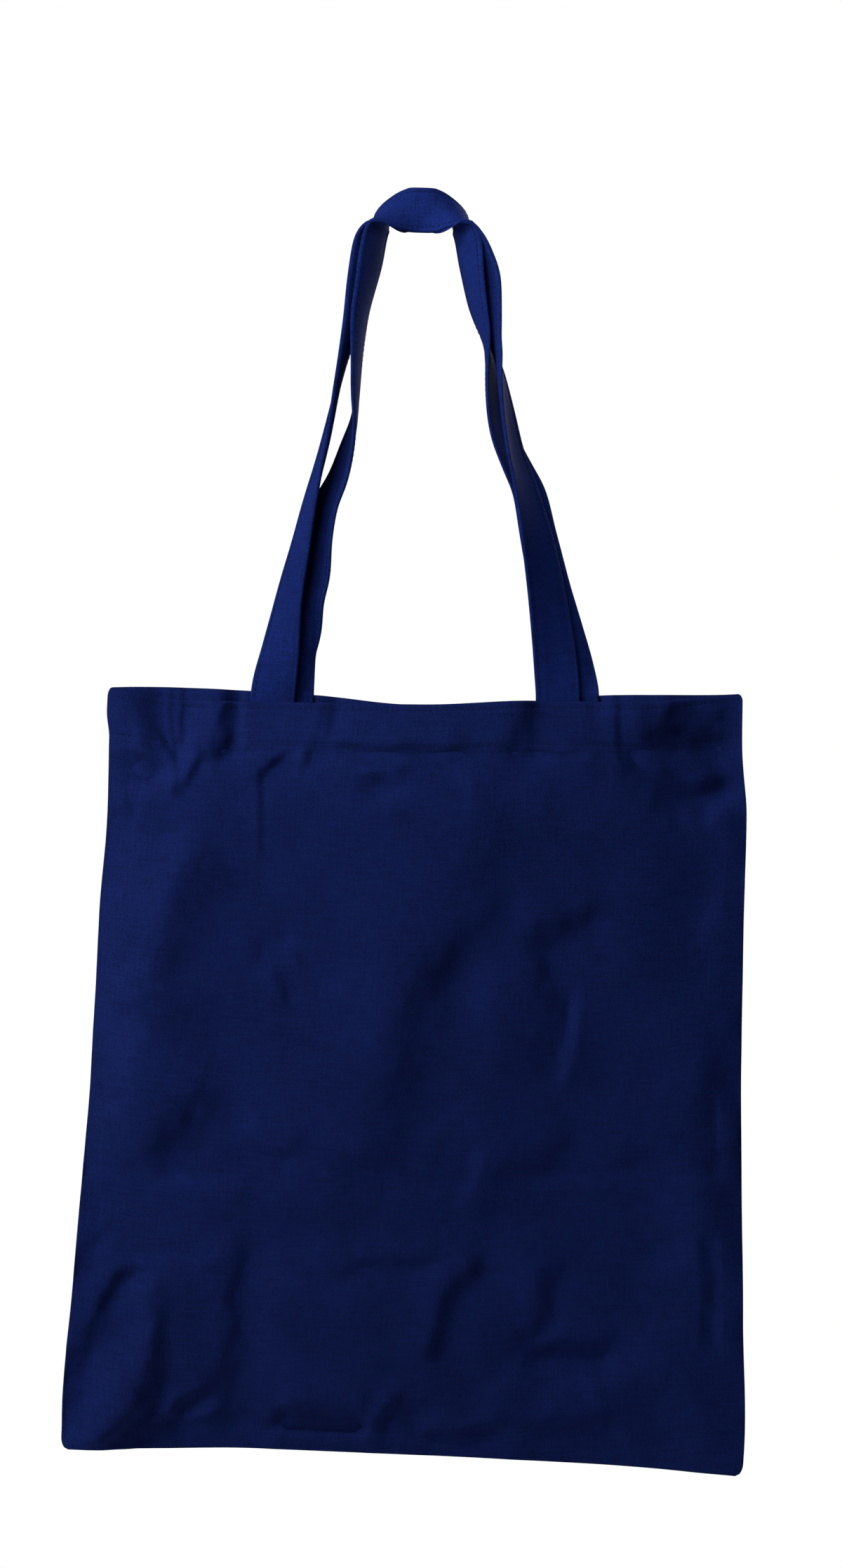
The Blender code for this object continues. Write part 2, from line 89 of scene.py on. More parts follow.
# Slopes of the cloth. Each row is a line through three places, in millimetres from the panel's
# middle and below its top edge, then the half width of the slope in millimetres and how steep it
# is. Above zero the cloth there faces the upper left, below zero the lower right.
FRONT_FOLDS = (
    ((-148, 86), (-155, 110), (-167, 159), 9.0, 0.86), ((-182, 46), (-182, 113), (-187, 215), 7.0, 0.86),
    ((-154, 50), (-162, 131), (-171, 214), 25.0, 0.30), ((-121, 41), (-121, 77), (-126, 116), 16.0, -0.06),
    ((-96, 48), (-95, 64), (-94, 80), 1.5, -0.83), ((-78, 88), (-79, 148), (-73, 212), 36.0, 0.18),
    ((-36, 87), (-27, 126), (-34, 167), 25.0, 0.22), ((39, 118), (25, 138), (11, 154), 9.0, -0.16),
    ((9, 154), (-2, 194), (-15, 242), 15.0, -0.30), ((49, 36), (45, 67), (42, 106), 20.0, -0.18),
    ((72, 131), (84, 127), (97, 122), 8.0, 0.54), ((72, 146), (77, 156), (79, 165), 8.0, -0.40),
    ((91, 169), (89, 189), (86, 206), 3.5, 0.86), ((116, 86), (126, 164), (132, 242), 45.0, 0.13),
    ((36, 166), (33, 201), (26, 233), 14.0, 0.25), ((172, 179), (174, 195), (176, 210), 10.0, -0.46),
    ((144, 55), (149, 82), (145, 110), 16.0, -0.08), ((-119, 230), (-130, 242), (-144, 252), 9.0, -0.49),
    ((-143, 273), (-122, 273), (-100, 273), 3.0, -0.86), ((-93, 250), (-83, 253), (-71, 255), 4.0, 0.68),
    ((-32, 260), (-24, 262), (-14, 264), 4.5, 0.54), ((15, 281), (35, 282), (59, 283), 4.0, 0.13),
    ((59, 258), (73, 253), (87, 245), 6.0, 0.38), ((24, 241), (16, 253), (10, 265), 4.0, -0.21),
    ((40, 256), (35, 268), (29, 278), 4.0, 0.45), ((75, 268), (119, 264), (172, 262), 3.5, -0.47),
    ((-82, 273), (-22, 271), (39, 269), 2.5, -0.15), ((-97, 288), (-29, 294), (39, 292), 12.0, 0.22),
    ((-158, 316), (-140, 316), (-116, 316), 3.0, -0.86), ((-22, 314), (-6, 314), (10, 313), 3.5, 0.86),
    ((-49, 319), (-42, 320), (-35, 319), 4.0, 0.62), ((37, 316), (26, 336), (16, 363), 5.5, -0.86),
    ((82, 320), (76, 338), (68, 354), 6.0, -0.64), ((76, 362), (92, 361), (110, 361), 5.0, 1.00),
    ((70, 359), (76, 356), (82, 352), 3.0, -0.41), ((120, 285), (136, 319), (140, 358), 30.0, 0.15),
    ((-97, 318), (-98, 364), (-99, 408), 7.5, -0.66), ((-143, 332), (-150, 368), (-169, 406), 9.0, 0.40),
    ((-165, 328), (-171, 348), (-178, 368), 4.5, -0.78), ((-172, 300), (-177, 304), (-181, 308), 2.5, -0.76),
    ((-138, 340), (-139, 372), (-145, 398), 6.5, -0.74), ((-143, 400), (-150, 410), (-158, 420), 5.0, -1.21),
    ((-112, 393), (-121, 398), (-128, 405), 4.0, -1.21), ((-128, 406), (-138, 410), (-148, 422), 3.0, -1.21),
    ((-103, 408), (-118, 412), (-138, 416), 3.0, -0.67), ((-79, 402), (-73, 403), (-67, 403), 3.5, 0.18),
    ((-62, 401), (-44, 402), (-25, 403), 4.5, 1.19), ((-67, 414), (-44, 413), (-21, 412), 3.5, -1.21),
    ((-1, 396), (-6, 401), (-11, 407), 4.0, -1.21), ((11, 397), (6, 402), (3, 408), 4.0, -0.59),
    ((20, 411), (34, 410), (50, 408), 3.5, 1.21), ((81, 401), (96, 401), (113, 397), 5.0, 0.69),
    ((61, 382), (88, 381), (116, 377), 9.0, -0.52), ((-118, 348), (-117, 368), (-117, 388), 8.0, -0.22),
    ((-78, 348), (-73, 371), (-76, 392), 14.0, 0.06), ((162, 299), (163, 322), (163, 349), 1.5, 0.39),
    ((188, 260), (189, 294), (188, 329), 4.0, 0.21), ((178, 229), (179, 245), (179, 260), 3.0, 0.86),
    ((177, 302), (178, 329), (178, 352), 4.0, 0.86), ((170, 310), (171, 324), (170, 337), 4.0, -0.06),
    ((185, 68), (186, 91), (186, 114), 2.5, -0.60), ((-169, 7), (-168, 17), (-167, 26), 12.0, -1.00),
    ((-152, 5), (-151, 18), (-149, 30), 1.5, -1.25), ((-146, 4), (-145, 16), (-145, 28), 2.5, -1.25),
    ((-128, 3), (-127, 13), (-127, 23), 12.0, -0.13), ((-108, 2), (-108, 10), (-108, 20), 3.0, 1.25),
    ((-89, 4), (-89, 12), (-88, 22), 11.0, -0.26), ((-62, 0), (-64, 13), (-69, 33), 3.2, -1.08),
    ((-74, 21), (-73, 27), (-71, 32), 3.0, 0.88), ((-56, 2), (-57, 9), (-58, 17), 3.0, -1.08),
    ((-111, 26), (-93, 25), (-74, 26), 2.0, 0.70), ((-81, 27), (-87, 33), (-94, 40), 2.5, -1.08),
    ((-116, 64), (-107, 54), (-96, 43), 1.8, 0.10), ((-122, 35), (-114, 33), (-105, 32), 4.0, -1.00),
    ((-93, 32), (-86, 33), (-80, 34), 4.0, 0.41), ((-45, 33), (-32, 33), (-19, 33), 3.0, -0.70),
    ((-35, 28), (-28, 28), (-20, 28), 2.0, 0.50), ((-30, 41), (-24, 41), (-17, 43), 4.0, 1.08),
    ((-24, 53), (-21, 54), (-17, 55), 4.0, -0.73), ((25, 49), (25, 55), (24, 61), 3.0, 0.24),
    ((44, 5), (44, 14), (45, 24), 15.0, 0.18), ((-23, 3), (-23, 11), (-22, 21), 18.0, 0.06),
    ((77, 5), (77, 14), (76, 25), 6.0, 0.12), ((100, 2), (100, 14), (100, 26), 3.5, -0.60),
    ((116, 1), (116, 14), (116, 26), 1.8, -0.76), ((70, 27), (81, 27), (93, 26), 2.2, 0.70),
    ((73, 33), (81, 33), (91, 33), 3.0, -0.59), ((130, 16), (153, 19), (176, 22), 7.0, 1.08),
    ((140, 43), (159, 45), (180, 44), 5.0, 0.70), ((130, 25), (145, 26), (157, 26), 2.0, 0.70),
    ((185, 11), (185, 18), (185, 27), 2.5, 1.08), ((171, 65), (177, 60), (183, 55), 4.0, -1.08),
    ((149, 5), (162, 6), (174, 8), 6.0, 1.08), ((-180, 28), (-179, 40), (-178, 51), 2.2, -1.25),
    ((-176, 54), (-172, 53), (-168, 51), 3.0, -1.25), ((-170, 70), (-162, 51), (-150, 35), 3.0, -1.08),
    ((-175, 36), (-166, 38), (-158, 40), 4.0, 1.25), ((-156, 26), (-151, 34), (-148, 42), 2.2, -1.25),
    ((-134, 33), (-138, 41), (-144, 49), 5.0, -0.71), ((-88, 146), (-82, 144), (-75, 141), 5.0, -0.68),
    ((-82, 155), (-80, 159), (-78, 164), 4.0, -0.52), ((70, 48), (74, 55), (76, 63), 6.0, -0.20),
    ((-182, 223), (-183, 246), (-183, 270), 4.0, 0.86), ((-185, 270), (-185, 294), (-187, 321), 5.0, -0.86),
    ((-168, 182), (-171, 206), (-174, 230), 10.0, 0.86), ((-151, 336), (-160, 372), (-177, 413), 8.0, 1.08),
    ((-170, 382), (-175, 400), (-182, 415), 6.0, 1.21), ((-54, 24), (-18, 25), (17, 25), 3.5, 1.08),
    ((17, 26), (45, 27), (70, 27), 4.0, 0.48), ((32, 3), (32, 13), (32, 24), 9.0, -0.12),
    ((55, 4), (55, 14), (55, 25), 9.0, -0.40), ((-44, 3), (-42, 11), (-39, 21), 7.0, -0.12),
    ((-134, 7), (-130, 13), (-126, 23), 7.0, 0.29), ((-115, 5), (-119, 17), (-121, 31), 5.0, -1.25),
    ((-164, 30), (-157, 35), (-150, 41), 4.0, 0.16), ((-147, 40), (-144, 34), (-142, 28), 4.0, -1.25),
    ((136, 32), (149, 38), (161, 44), 8.0, 0.94), ((-77, 12), (-75, 16), (-72, 24), 5.0, -0.59),
    ((-174, 92), (-177, 124), (-181, 164), 10.0, 0.78), ((159, 369), (167, 387), (174, 402), 12.0, -0.28),
    ((152, 261), (156, 284), (152, 311), 14.0, 0.42), ((-181, 73), (-185, 93), (-186, 113), 14.0, -0.13),
    ((-160, 83), (-167, 111), (-174, 143), 14.0, 0.13), ((136, 8), (140, 28), (149, 48), 16.0, -0.08),
    ((172, 118), (171, 156), (174, 191), 12.0, 0.25), ((116, 12), (150, 16), (184, 20), 13.0, 0.32),
    ((-172, 40), (-178, 140), (-181, 240), 18.0, 0.24), ((150, 0), (150, 25), (152, 52), 24.0, -0.22),
    ((150, 335), (156, 375), (160, 418), 22.0, 0.24), ((108, -20), (112, 10), (118, 50), 45.0, -0.19),
    ((28, 10), (72, 12), (112, 12), 12.0, 0.26),
)
BACK_FOLDS = (
    ((-60, 8), (-64, 20), (-66, 42), 4.0, 0.35), ((20, 6), (18, 24), (12, 50), 6.0, -0.25),
    ((110, 30), (90, 38), (70, 42), 5.0, 0.25), ((-120, 28), (-140, 44), (-168, 60), 6.0, 0.30),
    ((-90, 120), (-110, 180), (-120, 260), 26.0, 0.16), ((20, 90), (0, 190), (-30, 280), 34.0, -0.12),
    ((110, 110), (118, 180), (104, 250), 22.0, 0.14), ((-150, 272), (-40, 268), (60, 272), 3.5, 0.18),
    ((80, 265), (120, 266), (165, 262), 3.0, -0.16), ((-70, 320), (-84, 350), (-104, 392), 7.0, -0.26),
    ((30, 312), (22, 340), (0, 370), 6.0, 0.24), ((130, 330), (126, 365), (118, 405), 8.0, -0.22),
    ((-30, 398), (0, 402), (40, 400), 4.5, -0.28), ((80, 404), (110, 398), (140, 400), 4.0, 0.24),
    ((-140, 400), (-155, 408), (-172, 416), 5.0, 0.30), ((60, 150), (70, 170), (74, 196), 5.0, 0.20),
)

# Route of each handle leg from the bag to the shoulder: x, y, z in millimetres, then how far
# its front edge is swung towards +X, in degrees. They lie within a few millimetres of the solids'.
FRONT_LEFT_LEG = (
    (-71.3, -3.4, -250, 60), (-67.7, -1.8, -221, 39), (-61.5, -1.4, -190, 26), (-54.6, -1.2, -157, 14),
    (-47.6, -1.0, -127, 7), (-43.4, -0.6, -102, 1), (-39.1, 0.0, -81, -10), (-34.7, 0.4, -60, -21),
    (-32.2, 0.8, -42, -29), (-29.6, 1.2, -25, -32), (-28.2, 1.2, -13.5, -24),
)
FRONT_RIGHT_LEG = (
    (82.8, -3.6, -252, -80), (80.2, -4.2, -234, -68), (74.8, -4.6, -204, -54), (68.8, -4.6, -178, -44),
    (62.2, -4.4, -155, -33), (54.2, -4.0, -131, -22), (49.2, -3.0, -108, -14), (45.8, -2.0, -89, -5),
    (44.2, -1.6, -80, 5), (41.4, -1.0, -71, 14), (39.4, 0.0, -54, 20), (36.8, 0.6, -36, 29),
    (31.6, 1.0, -23, 30), (27.4, 1.0, -12.5, 20),
)
BACK_LEFT_LEG = (
    (-63.6, 2.6, -250, 76), (-59.8, 1.6, -236, 66), (-58.2, 0.8, -221, 56), (-54.2, 0.4, -205, 50),
    (-53.0, 0.8, -190, 46), (-48.8, 1.2, -168, 39), (-43.6, 1.4, -157, 34), (-40.6, 1.6, -150, 29),
    (-35.9, 1.4, -133, 18), (-32.7, 1.3, -115, 2), (-32.4, 0.8, -100, -6),
    (-32.0, 0.3, -81, -11), (-31.0, 0.0, -60, -18), (-28.3, -0.2, -43, -24), (-25.5, -0.2, -25, -30),
    (-24.4, -0.1, -14.5, -30),
)
BACK_RIGHT_LEG = (
    (92.4, 3.4, -254, -84), (86.2, 4.2, -233, -75), (77.0, 4.6, -203, -65), (70.2, 4.8, -178, -56),
    (64.8, 4.6, -157, -49), (56.4, 4.4, -141, -44), (48.6, 4.0, -125, -37), (43.6, 3.6, -106, -28),
    (41.2, 3.0, -92, -19), (39.2, 2.2, -80, -8), (36.3, 1.2, -69, 8), (31.8, 0.4, -54, 20),
    (28.2, 0.0, -36, 27), (26.2, 0.0, -24, 31), (25.2, 0.0, -14.5, 33),
)
# Over the shoulders, the same with how far the front edge is tipped down, in degrees. The
# front handle bends over the outside, the back one drops its back edge early, inside it.
FRONT_SHOULDERS = (
    ((-27.0, 0.6, -8.4, -7, 12), (-20.6, 0.1, -3.4, -4, 32), (-12.8, -0.6, -1.4, 0, 58)),
    ((12.8, -0.6, -1.0, 0, 54), (20.2, -0.2, -3.0, 3, 31), (26.6, 0.4, -7.0, 7, 12)),
)
BACK_SHOULDERS = (
    ((-24.6, -0.3, -8.2, -30, 3), (-18.2, -0.5, -4.4, -28, 20), (-11.5, -0.5, -1.8, -15, 48)),
    ((11.5, -0.5, -1.4, 15, 48), (18.2, -0.5, -4.0, 28, 20), (24.4, -0.3, -7.8, 31, 3)),
)
CLIP_HEIGHT_MM = 0.2

# The long edges of a strip curl by this much, and the curl keeps to the edges by this power
CURL = 2.2 * MM
CURL_SHAPE = 2.4

# Where the rows of stitches lie, below the top edge and from the middle of a strip
TOP_ROW = 0.0035
HEM_ROW = HEM_DEPTH - 0.0018
STRIP_ROW = 10.0 * MM
STITCH_PITCH = 3.0 * MM

# Fine relief of the cloth: how high, then how long or how far it reaches, in metres
SLACK_HEIGHT, SLACK_LENGTH = 0.55 * MM, 0.130
RIPPLE_HEIGHT, RIPPLE_LENGTH = 0.22 * MM, 0.055
SEAM_PUCKER_HEIGHT, SEAM_PUCKER_LENGTH, SEAM_PUCKER_REACH = 0.45 * MM, 0.026, 0.016
SEAM_GROOVE_DEPTH, SEAM_GROOVE_PLACE, SEAM_GROOVE_REACH = 0.35 * MM, 0.0045, 0.0013
HEM_PUCKER_HEIGHT, HEM_PUCKER_LENGTH, HEM_PUCKER_REACH = 0.30 * MM, 0.020, 0.008
HEM_STEP_HEIGHT, HEM_STEP_PLACE, HEM_STEP_REACH = 0.25 * MM, 0.0004, 0.0006
ROW_DEPTH, ROW_REACH = 0.45 * MM, 0.0012
HANDLE_BULGE = 0.35 * MM

# The least room between a panel and the middle of the bag, and the share of the folds that a
# handle sewn into the hem flattens
SOFT_LIMIT = 0.35 * MM
SEWN_CALM = 0.85

# Fineness of the meshes: columns between the side seams, levels inside below the hem, and the
# step along a handle
COLUMNS = 221
INNER_LEVELS = 14
STRIP_STEP = 2.2 * MM

CUT_MAP = "cut"


# ---------------------------------------------------------------- curves through values

def slopes_through(places, values):
    """Slope at each place for a smooth curve: level where the values turn."""
    steps = [(values[i + 1] - values[i]) / (places[i + 1] - places[i]) for i in range(len(values) - 1)]
    slopes = [steps[0]]
    for before, after in zip(steps, steps[1:]):
        slopes.append(0.0 if before * after <= 0.0 else 2.0 * before * after / (before + after))
    slopes.append(steps[-1])
    return slopes


def curve_at(places, values, wanted):
    """Values of a smooth curve that passes through the given ones without overshooting."""
    places = np.asarray(places, float)
    values = np.asarray(values, float)
    slopes = np.asarray(slopes_through(places, values))
    wanted = np.clip(np.asarray(wanted, float), places[0], places[-1])
    index = np.clip(np.searchsorted(places, wanted, side="right") - 1, 0, len(places) - 2)
    span = places[index + 1] - places[index]
    t = (wanted - places[index]) / span
    return (values[index] * (1 + 2 * t) * (1 - t) ** 2 + slopes[index] * span * t * (1 - t) ** 2
            + values[index + 1] * t * t * (3 - 2 * t) - slopes[index + 1] * span * t * t * (1 - t))


def along(pairs, wanted):
    """The smooth curve through a table of places and values."""
    return curve_at([pair[0] for pair in pairs], [pair[1] for pair in pairs], wanted)


# ---------------------------------------------------------------- the bag's cloth

def half_width(down):
    """Half the width of the hanging bag at this share of the way down."""
    return 0.5 * BAG_WIDTH * along(WIDTH_SHARE, down)


def top_height(side, across):
    """Height of a panel's uneven top edge, below the hanging point."""
    return -HANDLE_DROP + along(FRONT_EDGE_MM if side == FRONT else BACK_EDGE_MM, across) * MM


def bottom_height(across):
    """Height of the slack lower edge, where both panels meet."""
    return -HANDLE_DROP - BAG_HEIGHT + along(BOTTOM_MM, across) * MM


def seat_middles(side):
    """Where the middles of a panel's two handle ends are sewn in."""
    middle = BAG_OFFSET + SEAT_MIDDLE + (BACK_SHIFT if side == BACK else 0.0)
    return middle - 0.5 * HANDLE_SPACING, middle + 0.5 * HANDLE_SPACING


def waves(x, z, length, seed):
    """Smooth random relief between about -1 and 1, built from crossing sine waves."""
    pick = np.random.default_rng(seed)
    total = np.zeros_like(x)
    for _ in range(9):
        angle = pick.uniform(0.0, math.pi)
        size = length * pick.uniform(0.7, 1.6)
        phase = pick.uniform(0.0, 2.0 * math.pi)
        total += np.sin(2.0 * math.pi * (x * math.cos(angle) + z * math.sin(angle)) / size + phase)
    return total / 3.0


def fold_relief(side, x, z):
    """Relief of the folds of one panel, from millimetres across and below its top edge."""
    # The lines wander a little in long and short waves, or they would look ruled
    wander_x, wander_z = (2.2 * waves(x, z, 46.0, seed) + 0.7 * waves(x, z, 15.0, seed + 1) for seed in (5, 8))
    relief = np.zeros_like(x)
    for start, middle, end, spread, steep in (FRONT_FOLDS if side == FRONT else BACK_FOLDS):
        start, middle, end = (np.array(place, float) for place in (start, middle, end))
        lean = 2.0 * middle - 0.5 * (start + end)
        points = [(1 - t) ** 2 * start + 2 * t * (1 - t) * lean + t * t * end
                  for t in np.linspace(0.0, 1.0, 7)]
        blur = min(1.0, spread / 5.0)
        at_x, at_z = x + wander_x * blur, z + wander_z * blur
        nearest, beside, beyond = np.full_like(x, 1e9), np.zeros_like(x), np.zeros_like(x)
        for n, (one, two) in enumerate(zip(points, points[1:])):
            length = float(np.hypot(*(two - one)))
            run = (two - one) / length
            out_x, out_z = at_x - one[0], at_z - one[1]
            travelled = out_x * run[0] + out_z * run[1]
            held = np.clip(travelled, 0.0, length)
            distance = np.hypot(out_x - run[0] * held, out_z - run[1] * held)
            closer = distance < nearest
            nearest = np.where(closer, distance, nearest)
            beside = np.where(closer, out_x * run[1] - out_z * run[0], beside)
            over = np.abs(travelled - held) if n in (0, len(points) - 2) else 0.0
            beyond = np.where(closer, over, beyond)
        # A slope fades beyond its ends, and the cloth comes back level a few widths beside it
        fade = np.exp(-(beyond / max(1.5 * spread, 7.0)) ** 2)
        relief += steep * spread * (np.tanh(beside / spread) - np.tanh(beside / (3.5 * spread))) * fade
    return relief * MM


def small_relief(side, across, down):
    """Slack in the cloth, puckers along the side seams and the rows of stitches of the hem."""
    x = across * 0.5 * BAG_WIDTH
    z = down * BAG_HEIGHT
    seed = 11 if side == FRONT else 31
    relief = (SLACK_HEIGHT * waves(x, z, SLACK_LENGTH, seed)
              + RIPPLE_HEIGHT * waves(x, z, RIPPLE_LENGTH, seed + 1))
    from_side = (1.0 - np.abs(across)) * 0.5 * BAG_WIDTH
    near_side = np.exp(-(from_side / SEAM_PUCKER_REACH) ** 2)
    relief += SEAM_PUCKER_HEIGHT * near_side * waves(x * 0.3, z, SEAM_PUCKER_LENGTH, seed + 2)
    relief -= SEAM_GROOVE_DEPTH * np.exp(-((from_side - SEAM_GROOVE_PLACE) / SEAM_GROOVE_REACH) ** 2)
    pucker = waves(x, z * 0.3, HEM_PUCKER_LENGTH, seed + 3)
    near_hem = np.exp(-((z - HEM_DEPTH) / HEM_PUCKER_REACH) ** 2)
    relief += HEM_PUCKER_HEIGHT * near_hem * pucker
    relief += HEM_STEP_HEIGHT / (1.0 + np.exp((z - HEM_DEPTH - HEM_STEP_PLACE) / HEM_STEP_REACH))
    for row in (HEM_ROW, TOP_ROW):
        relief -= ROW_DEPTH * np.exp(-((z - row) / ROW_REACH) ** 2)
    return relief


def near_handle(side, across, drop):
    """1 where a handle is sewn between the layers of the hem, falling to 0 around it."""
    in_hem = 1.0 / (1.0 + np.exp((drop - HEM_DEPTH - 0.002) / 0.0010))
    at = np.abs(across[..., None] * half_width(0.0) + BAG_OFFSET - np.array(seat_middles(side)))
    return in_hem * (1.0 / (1.0 + np.exp((at - 0.5 * HANDLE_WIDTH - 0.003) / 0.0016))).max(axis=-1)


def carried_forward(across, drop):
    """How far both panels are carried forward together by the folds that show on the front."""
    folds = fold_relief(FRONT, across * 0.5 * BAG_WIDTH / MM, drop / MM)
    sewn = np.maximum(near_handle(FRONT, across, drop), near_handle(BACK, across, drop))
    # The top corners stay in line, because the side seam and the hem stiffen them
    corner = across ** 16 * np.exp(-(drop / 0.045) ** 2)
    return folds * (1.0 - corner) * (1.0 - SEWN_CALM * sewn)


def outer_depth(side, across, down):
    """Distance of a panel's outer face from the surface midway between the panels."""
    pillow = along(HALF_DEPTH_MM, down) * MM * (1.0 - across ** 2)
    drop = down * BAG_HEIGHT
    # The panels part quickly behind the side seams, more so on the left
    lift = np.clip(drop / 0.06, 0.0, 1.0) * np.clip((BAG_HEIGHT - drop) / 0.05, 0.0, 1.0)
    rightwards = np.clip(0.5 + 0.5 * across, 0.0, 1.0)
    for share, from_side, size in ((1.0 - rightwards, 1.0 + across, 6.5), (rightwards, 1.0 - across, 2.0)):
        parted = 1.0 - np.exp(-from_side * 0.5 * BAG_WIDTH / 0.020)
        pillow = pillow + share * size * MM * lift * parted
    sewn = near_handle(side, across, drop)
    if side == BACK:
        folds = fold_relief(BACK, across * 0.5 * BAG_WIDTH / MM, drop / MM)
        pillow = pillow + folds * (1.0 - across ** 16) * (1.0 - SEWN_CALM * sewn)
    fine = small_relief(side, across, down) * np.clip((1.0 - np.abs(down)) / 0.02, 0.0, 1.0)
    fine *= np.clip((1.0 - np.abs(across)) / 0.012, 0.0, 1.0)
    fine += HANDLE_BULGE * sewn
    # A soft limit: the two panels lie on each other where a hollow would pass through them
    room = pillow / SOFT_LIMIT
    body = SOFT_LIMIT * np.where(room > 20.0, room, np.log1p(np.exp(np.minimum(room, 20.0))))
    # The rim of the hem is round over its first 1.9 mm
    rounded = MM * np.clip(1.0 - drop / 1.9 / MM, 0.0, 1.0) ** 2
    return SEAM_HALF + body + fine - rounded


def panel_points(side, across, drop, cloth_in=0.0, inside=False):
    """Points of a panel, so far below its top edge and so far in from its outer face."""
    top = top_height(side, across)
    height = top - bottom_height(across)
    down = np.clip(drop / height, 0.0, 1.0)
    depth = outer_depth(side, across, down) - cloth_in
    if inside:
        # The inner face is smooth below the hem, where it can't be seen in the photo
        calm = 0.6 * along(HALF_DEPTH_MM, down) * MM * (1.0 - across ** 2) - 1.5 * MM
        below_hem = np.clip((drop - HEM_DEPTH) / 0.008, 0.0, 1.0)
        depth = depth * (1.0 - below_hem) + calm * below_hem
    depth = np.maximum(depth, 0.15 * MM)
    x = BAG_OFFSET + across * half_width(down)
    x += np.clip(-across, 0.0, 1.0) ** 3 * along(LEFT_SIDE_MM, down) * MM
    x += np.clip(across, 0.0, 1.0) ** 3 * along(RIGHT_SIDE_MM, down) * MM
    z = top - drop
    for near_end, size in ((height - drop, CORNER_RADIUS), (drop, 0.6 * CORNER_RADIUS)):
        past = np.clip(size - near_end, 0.0, size)
        x -= np.sign(across) * np.abs(across) ** 40 * (size - np.sqrt(size ** 2 - past ** 2)) * 0.6
    # Both panels take their folds from the height on the front panel, so that they stay together
    front_top = top_height(FRONT, across)
    front_drop = np.clip((front_top - z) / (height + front_top - top) * BAG_HEIGHT, 0.0, BAG_HEIGHT)
    forward = carried_forward(across, front_drop)
    return np.stack([x, side * depth - forward, z], axis=-1)


def bag_cloth_mesh():
    """The whole bag as one cloth: outside, round the rim of the hem and down the inside."""
    seam = 1.0 - SEAM_ALLOWANCE / half_width(0.0)
    beyond_seam = [0.985, 0.995, 1.0]
    across = np.concatenate([[-share for share in reversed(beyond_seam)], np.linspace(-seam, seam, COLUMNS),
                             beyond_seam])
    first, last = 3, len(across) - 4
    # Close rows at the rim, down the hem and near the bottom, where the folds are finest
    rows = np.concatenate([[0.0, 0.0008, 0.0018], np.linspace(0.0032, 0.092, 34)[:-1],
                           np.linspace(0.092, 0.885, 118)[:-1], np.linspace(0.885, 1.0, 42)])
    verts, faces, coords = [], [], []

    def add_grid(points, uv):
        start = len(verts)
        verts.extend(points.reshape(-1, 3).tolist())
        coords.extend(uv.reshape(-1, 2).tolist())
        return np.arange(start, start + points.shape[0] * points.shape[1]).reshape(points.shape[:2])

    def quads(grid, turned):
        a, b, c, d = grid[:-1, :-1], grid[1:, :-1], grid[1:, 1:], grid[:-1, 1:]
        ring = np.stack([a, b, c, d] if turned else [a, d, c, b], axis=-1).reshape(-1, 4)
        faces.extend(ring.tolist())

    def strip(one, two, turned):
        quads(np.stack([one, two]), turned)

    outer, inner = {}, {}
    for side in (FRONT, BACK):
        height = top_height(side, across) - bottom_height(across)
        drop = rows[:, None] * height[None, :]
        wide = np.broadcast_to(across, drop.shape)
        # On the cut cloth the back panel lies beside the front one, and the inside above the edge
        panel_u = 0.0 if side == FRONT else BAG_WIDTH
        outer[side] = add_grid(panel_points(side, wide, drop),
                               np.stack([wide * 0.5 * BAG_WIDTH + panel_u, -drop], axis=-1))
        mid = across[first:last + 1]
        room = height[first:last + 1] - HEM_DEPTH - 2.0 * CLOTH
        hem = np.array([0.0, 0.33, 0.66, 0.985]) * HEM_DEPTH
        below = HEM_DEPTH + np.linspace(0.0, 1.0, INNER_LEVELS)[:, None] * room[None, :]
        drop = np.concatenate([np.broadcast_to(hem[:, None], (len(hem), len(mid))), below])
        wide = np.broadcast_to(mid, drop.shape)
        cloth_in = np.full(drop.shape, CLOTH)
        cloth_in[:len(hem)] = HEM_THICKNESS
        inner[side] = add_grid(panel_points(side, wide, drop, cloth_in, True),
                               np.stack([wide * 0.5 * BAG_WIDTH + panel_u, drop], axis=-1))
    for side in (FRONT, BACK):
        quads(outer[side], side == FRONT)
        quads(inner[side], side == BACK)
        strip(outer[side][0, first:last + 1], inner[side][0], side == BACK)
    # The bottom and both sides, outside and inside
    for grids, turned in ((outer, True), (inner, False)):
        strip(grids[FRONT][-1], grids[BACK][-1], turned)
        strip(grids[FRONT][:, 0], grids[BACK][:, 0], not turned)
        strip(grids[FRONT][:, -1], grids[BACK][:, -1], turned)
    # The rim over each side seam, where the allowance fills the space between the panels
    for rim in (slice(0, first + 1), slice(last, None)):
        strip(outer[FRONT][0, rim], outer[BACK][0, rim], False)
    mesh = bpy.data.meshes.new("bag_cloth")
    mesh.from_pydata(verts, [], faces)
    uv_map = mesh.uv_layers.new(name=CUT_MAP)
    flat = np.array(coords)[[loop.vertex_index for loop in mesh.loops]]
    uv_map.data.foreach_set("uv", flat.ravel())
    return mesh


def finish_mesh(mesh, name, merge=0.02 * MM):
    """Joins what meets, turns every face outwards and shades it smooth."""
    work = bmesh.new()
    work.from_mesh(mesh)
    bmesh.ops.remove_doubles(work, verts=work.verts, dist=merge)
    bmesh.ops.recalc_face_normals(work, faces=work.faces)
    work.to_mesh(mesh)
    work.free()
    for polygon in mesh.polygons:
        polygon.use_smooth = True
    piece = bpy.data.objects.new(name, mesh)
    bpy.context.collection.objects.link(piece)
    return piece


# ---------------------------------------------------------------- the handles

